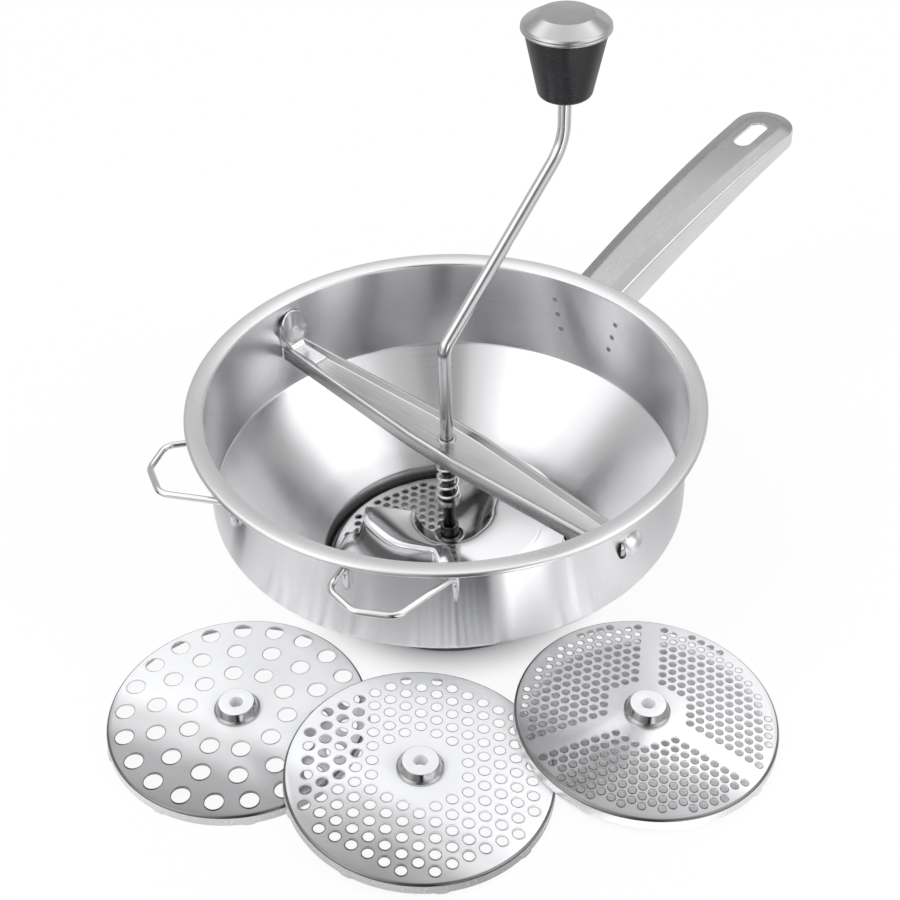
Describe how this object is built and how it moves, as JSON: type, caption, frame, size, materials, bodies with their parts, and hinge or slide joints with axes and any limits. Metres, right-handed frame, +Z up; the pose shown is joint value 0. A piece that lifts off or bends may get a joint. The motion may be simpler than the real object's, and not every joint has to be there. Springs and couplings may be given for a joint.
{
  "type": "rotary food mill",
  "caption": "Steel tomato strainer with a crank-driven pressing blade, a long hollow handle, two wire pot rests and spare sieve discs.",
  "frame": {"origin": "axis of the pan and crank shaft, in the plane that the pan's base ring stands on", "axes": "+Z up along the crank shaft, +X to the right, +Y to the back; the handle points between +X and +Y"},
  "size_m": [0.3457, 0.4281, 0.2655],
  "materials": {
    "pan_steel": "satin",
    "handle_steel": "satin",
    "wire_steel": "polished",
    "bar_steel": "satin",
    "disc_steel": "polished",
    "turned_steel": "satin",
    "spring_steel": "satin",
    "polished_steel": "polished",
    "knob_plastic": "satin",
    "cap_steel": "satin"
  },
  "bodies": {
    "pan_frame": {"pan": "pan_steel", "handle": "handle_steel", "handle_spot_welds": "pan_steel", "pot_rest_left": "wire_steel", "pot_rest_front": "wire_steel", "crossbar": "bar_steel", "crossbar_release_tab": "bar_steel", "crossbar_bushing": "turned_steel", "spring_upper_washer": "turned_steel", "sieve_disc_in_pan": "disc_steel", "sieve_disc_in_pan_hub": "turned_steel"},
    "spring_carriage": {"spring_lower_washer": "turned_steel", "pressure_spring": "spring_steel"},
    "crank": {"crank_rod": "polished_steel", "blade_hub": "turned_steel", "blade_hub_pin": "turned_steel", "spring_stop_pin": "turned_steel", "pressing_blade": "polished_steel", "knob_retainer": "turned_steel"},
    "knob_turning": {"knob": "knob_plastic", "knob_cap": "cap_steel", "knob_bushing": "turned_steel"},
    "coarse_disc": {"spare_disc_coarse": "disc_steel", "spare_disc_coarse_hub": "turned_steel"},
    "medium_disc": {"spare_disc_medium": "disc_steel", "spare_disc_medium_hub": "turned_steel"},
    "fine_disc": {"spare_disc_fine": "disc_steel", "spare_disc_fine_hub": "turned_steel"}
  },
  "joints": [
    {"name": "blade_lift", "type": "slide", "parent": "pan_frame", "child": "spring_carriage", "axis": [0, 0, 1], "range_m": [0, 0.003], "stiffness_N_per_m": 600, "springref_m": -0.004, "deforming": ["pressure_spring"]},
    {"name": "crank_turn", "type": "hinge", "parent": "spring_carriage", "child": "crank", "pos_m": [0, 0, 0.08], "axis": [0, 0, 1], "continuous": true},
    {"name": "knob_spin", "type": "hinge", "parent": "crank", "child": "knob_turning", "pos_m": [0.05537, 0.05537, 0.236], "axis": [0, 0, 1], "continuous": true},
    {"name": "coarse_disc_lift", "type": "slide", "parent": "pan_frame", "child": "coarse_disc", "axis": [0, 0, 1], "range_m": [0, 0.005]},
    {"name": "medium_disc_lift", "type": "slide", "parent": "coarse_disc", "child": "medium_disc", "axis": [0, 0, 1], "range_m": [0, 0.005]},
    {"name": "fine_disc_lift", "type": "slide", "parent": "medium_disc", "child": "fine_disc", "axis": [0, 0, 1], "range_m": [0, 0.005]}
  ]
}
